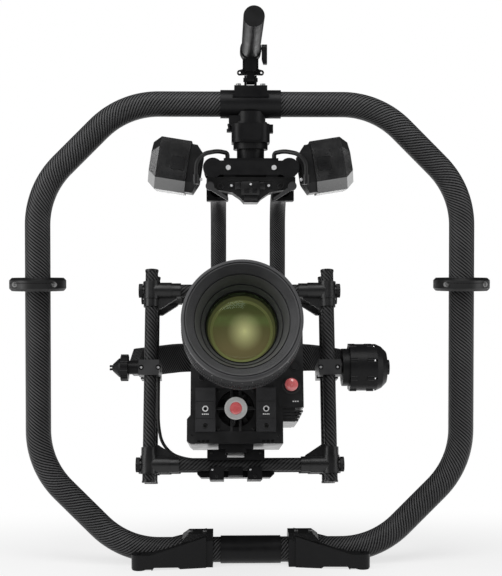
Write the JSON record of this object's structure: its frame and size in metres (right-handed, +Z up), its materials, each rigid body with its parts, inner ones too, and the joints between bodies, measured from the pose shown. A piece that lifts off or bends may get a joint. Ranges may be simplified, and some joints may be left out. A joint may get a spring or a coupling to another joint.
{
  "type": "gimbal stabilizer",
  "caption": "Camera gimbal hung in a carbon tube ring with a folding top handle, pan, roll and tilt motors, side batteries and a tube cage that holds a cinema camera and lens.",
  "frame": {"origin": "on the floor, on the pan axis, in the middle of the four foot pads", "axes": "+Z up along the pan axis, +X to the right seen from in front of the lens, lens towards -Y"},
  "size_m": [0.575, 0.4201, 0.6266],
  "materials": {
    "carbon_fibre": "satin",
    "black_anodised": "satin",
    "steel_screw": "polished",
    "black_steel": "satin",
    "motor_core": "satin",
    "rubber_pad": "matte",
    "black_moulding": "matte",
    "battery_shell": "matte",
    "lead_jacket": "satin",
    "camera_shell": "satin",
    "panel_grey": "satin",
    "guard_silver": "satin",
    "record_red": "gloss",
    "lens_black": "satin",
    "coated_glass": "gloss"
  },
  "bodies": {
    "ring_frame": {"ring_tube_left": "carbon_fibre", "ring_tube_right": "carbon_fibre", "tube_sleeves": "black_anodised", "hand_stops": "black_moulding", "frame_screws": "steel_screw", "feet": "black_anodised", "foot_pads": "rubber_pad", "handle_base": "black_anodised", "pan_mount": "black_anodised", "pan_motor_housing": "black_anodised", "pan_motor_stator": "motor_core"},
    "quick_release": {"release_lever": "black_anodised"},
    "top_handle": {"handle_neck": "black_anodised", "handle_clamp_ring": "black_anodised", "handle_tube": "carbon_fibre", "handle_end_cap": "black_moulding", "handle_pivot_pin": "black_steel"},
    "thumb_lever": {"handle_lever": "black_anodised"},
    "pan_arm": {"pan_rotor": "black_anodised", "bracket_hub": "black_anodised", "battery_plates": "black_anodised", "plate_screws": "steel_screw", "control_unit": "black_moulding", "tube_clamps": "black_anodised", "cover_clips": "black_anodised", "battery_shoes": "black_moulding", "battery_leads": "lead_jacket", "pan_tubes": "carbon_fibre", "roll_carriage": "black_anodised", "roll_motor_housing": "black_anodised", "roll_motor_stator": "motor_core"},
    "left_battery": {"battery_left": "battery_shell"},
    "right_battery": {"battery_right": "battery_shell"},
    "left_latch": {"battery_latch_left": "black_moulding"},
    "right_latch": {"battery_latch_right": "black_moulding"},
    "roll_yoke": {"roll_rotor": "black_anodised", "yoke_bar": "carbon_fibre", "pivot_housing": "black_anodised", "tilt_motor_housing": "black_anodised", "tilt_motor_cap": "black_anodised", "tilt_motor_stator": "motor_core", "tilt_motor_screws": "steel_screw"},
    "pivot_lock": {"lock_wheel": "black_anodised"},
    "camera_cage": {"tilt_clamps": "black_anodised", "cage_tubes": "carbon_fibre", "corner_brackets": "black_moulding", "corner_knobs": "black_anodised", "tube_end_caps": "black_moulding", "rail_clamp": "black_anodised", "cage_lead": "lead_jacket"},
    "camera": {"dovetail_plate": "black_anodised", "camera_body": "camera_shell", "front_panels": "panel_grey", "fan_guard": "guard_silver", "lens_barrel": "lens_black", "front_glass": "coated_glass"},
    "fan_wheel": {"cooling_fan": "black_moulding"},
    "rec_button": {"record_button": "record_red"},
    "focus_wheel": {"focus_ring": "lens_black"},
    "iris_wheel": {"iris_ring": "lens_black"}
  },
  "joints": [
    {"name": "pan", "type": "hinge", "parent": "ring_frame", "child": "pan_arm", "pos_m": [0, 0, 0.5], "axis": [0, 0, 1], "continuous": true},
    {"name": "quick_release_swing", "type": "hinge", "parent": "ring_frame", "child": "quick_release", "pos_m": [-0.025, -0.01, 0.521], "axis": [0, 0, 1], "range_deg": [0, 70]},
    {"name": "handle_tilt", "type": "hinge", "parent": "ring_frame", "child": "top_handle", "pos_m": [0, 0, 0.58], "axis": [-1, 0, 0], "range_deg": [0, 90]},
    {"name": "thumb_lever_swing", "type": "hinge", "parent": "top_handle", "child": "thumb_lever", "pos_m": [0.0165, -0.003, 0.617], "axis": [1, 0, 0], "range_deg": [-70, 0]},
    {"name": "left_battery_slide", "type": "slide", "parent": "pan_arm", "child": "left_battery", "axis": [0, -1, 0], "range_m": [0, 0.06]},
    {"name": "right_battery_slide", "type": "slide", "parent": "pan_arm", "child": "right_battery", "axis": [0, -1, 0], "range_m": [0, 0.06]},
    {"name": "left_latch_press", "type": "slide", "parent": "left_battery", "child": "left_latch", "axis": [0, 1, 0], "range_m": [0, 0.0014], "stiffness_N_per_m": 800, "springref_m": -0.0005},
    {"name": "right_latch_press", "type": "slide", "parent": "right_battery", "child": "right_latch", "axis": [0, 1, 0], "range_m": [0, 0.0014], "stiffness_N_per_m": 800, "springref_m": -0.0005},
    {"name": "roll", "type": "hinge", "parent": "pan_arm", "child": "roll_yoke", "pos_m": [0, 0.15, 0.236], "axis": [0, 1, 0], "range_deg": [-45, 45]},
    {"name": "pivot_lock_turn", "type": "hinge", "parent": "roll_yoke", "child": "pivot_lock", "pos_m": [-0.15, 0, 0.236], "axis": [-1, 0, 0], "continuous": true},
    {"name": "tilt", "type": "hinge", "parent": "roll_yoke", "child": "camera_cage", "pos_m": [0, 0, 0.236], "axis": [-1, 0, 0], "range_deg": [-59, 36]},
    {"name": "camera_slide", "type": "slide", "parent": "camera_cage", "child": "camera", "axis": [0, -0.9724, 0.2334], "range_m": [-0.012, 0.012]},
    {"name": "fan_spin", "type": "hinge", "parent": "camera", "child": "fan_wheel", "pos_m": [-0.018, -0.0515, 0.19283], "axis": [0, -0.9724, 0.2334], "continuous": true},
    {"name": "record_press", "type": "slide", "parent": "camera", "child": "rec_button", "axis": [0, 0.9724, -0.2334], "range_m": [0, 0.0012], "stiffness_N_per_m": 800, "springref_m": -0.0005},
    {"name": "focus_turn", "type": "hinge", "parent": "camera", "child": "focus_wheel", "pos_m": [-0.0125, -0.0929, 0.27743], "axis": [0, -0.9724, 0.2334], "range_deg": [0, 300]},
    {"name": "iris_turn", "type": "hinge", "parent": "camera", "child": "iris_wheel", "pos_m": [-0.0125, -0.0929, 0.27743], "axis": [0, -0.9724, 0.2334], "range_deg": [0, 90]}
  ]
}
